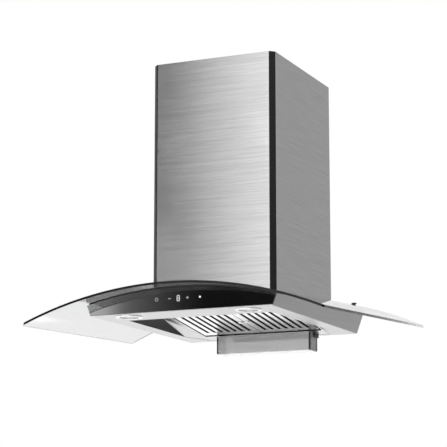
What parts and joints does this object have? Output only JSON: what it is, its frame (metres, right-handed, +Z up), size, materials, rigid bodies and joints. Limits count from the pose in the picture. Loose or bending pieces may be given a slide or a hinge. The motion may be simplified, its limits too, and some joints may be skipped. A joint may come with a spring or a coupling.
{
  "type": "range hood",
  "caption": "Wall range hood: arched glass canopy over a slim steel body, telescopic chimney, touch front, two baffle filters, lamps, blower and clear oil cup.",
  "frame": {"origin": "centre of the four wall fixing holes, on the wall plane; the underside of the body is 193 mm below it", "axes": "+Z up, -Y out into the room, +X to the right seen from the front"},
  "size_m": [0.6, 0.459, 0.5115],
  "materials": {
    "brushed_steel": "fine horizontal brushing",
    "pan_steel": "satin",
    "filter_steel": "bright, smooth",
    "canopy_glass": "polished, clear",
    "touch_glass": "polished black glass",
    "seal_rubber": "matt",
    "black_plastic": "fine grain",
    "black_strip": "satin black",
    "lamp_trim": "satin",
    "lamp_diffuser": "frosted",
    "sink_metal": "anodised",
    "circuit_board": "solder mask",
    "sensor_metal": "plated",
    "display_plastic": "diffusing",
    "cup_plastic": "clear, moulded",
    "zinc_steel": "zinc plated",
    "wheel_plastic": "moulded",
    "motor_metal": "cast",
    "shaft_steel": "ground",
    "collar_plastic": "moulded",
    "flap_metal": "mill",
    "housing_plastic": "fine grain"
  },
  "bodies": {
    "hood": {"canopy_body": "brushed_steel", "underside_pan": "pan_steel", "glass_canopy": "canopy_glass", "glass_seal": "seal_rubber", "glass_pads": "seal_rubber", "glass_bolts": "black_plastic", "touch_panel": "touch_glass", "touch_board": "circuit_board", "touch_sensors": "sensor_metal", "display_module": "display_plastic", "lamp_ring_left": "lamp_trim", "lamp_ring_right": "lamp_trim", "lamp_lens_left": "lamp_diffuser", "lamp_lens_right": "lamp_diffuser", "lamp_module_left": "sink_metal", "lamp_module_right": "sink_metal", "cup_rail": "zinc_steel", "lower_chimney": "brushed_steel", "corner_strip_left": "black_strip", "corner_strip_right": "black_strip", "chimney_clips": "zinc_steel", "chassis": "zinc_steel", "volute": "zinc_steel", "volute_cover": "zinc_steel", "motor": "motor_metal", "motor_bracket": "zinc_steel", "outlet_collar": "collar_plastic", "damper_pin": "shaft_steel", "control_box": "housing_plastic", "control_lid": "housing_plastic", "power_board": "circuit_board", "capacitor": "housing_plastic", "mains_gland": "black_plastic", "chassis_screws": "zinc_steel", "collar_screws": "zinc_steel", "bracket_screws": "zinc_steel", "cover_screws": "zinc_steel"},
    "blower": {"blower_wheel": "wheel_plastic", "motor_shaft": "shaft_steel"},
    "front_flap": {"damper_front": "flap_metal"},
    "rear_flap": {"damper_rear": "flap_metal"},
    "upper_cover": {"upper_chimney": "brushed_steel", "ceiling_bracket": "zinc_steel"},
    "left_filter": {"filter_frame_left": "filter_steel", "filter_lower_left": "filter_steel", "filter_upper_left": "filter_steel", "filter_pull_left": "lamp_trim", "filter_catch_left": "filter_steel"},
    "right_filter": {"filter_frame_right": "filter_steel", "filter_lower_right": "filter_steel", "filter_upper_right": "filter_steel", "filter_pull_right": "lamp_trim", "filter_catch_right": "filter_steel"},
    "cup": {"oil_cup": "cup_plastic", "cup_ends": "cup_plastic", "cup_magnets": "black_plastic"}
  },
  "joints": [
    {"name": "blower_spin", "type": "hinge", "parent": "hood", "child": "blower", "pos_m": [0, -0.095, -0.015], "axis": [1, 0, 0], "continuous": true},
    {"name": "front_flap_swing", "type": "hinge", "parent": "hood", "child": "front_flap", "pos_m": [0, -0.135, 0.1485], "axis": [-1, 0, 0], "range_deg": [0, 75]},
    {"name": "rear_flap_swing", "type": "hinge", "parent": "hood", "child": "rear_flap", "pos_m": [0, -0.135, 0.1485], "axis": [1, 0, 0], "range_deg": [0, 75]},
    {"name": "chimney_rise", "type": "slide", "parent": "hood", "child": "upper_cover", "axis": [0, 0, 1], "range_m": [0, 0.3]},
    {"name": "left_filter_tilt", "type": "hinge", "parent": "hood", "child": "left_filter", "pos_m": [0, -0.05051, -0.18829], "axis": [1, 0, 0], "range_deg": [0, 10]},
    {"name": "right_filter_tilt", "type": "hinge", "parent": "hood", "child": "right_filter", "pos_m": [0, -0.05051, -0.18829], "axis": [1, 0, 0], "range_deg": [0, 10]},
    {"name": "cup_slide", "type": "slide", "parent": "hood", "child": "cup", "axis": [0, -1, 0], "range_m": [0, 0.02]}
  ]
}
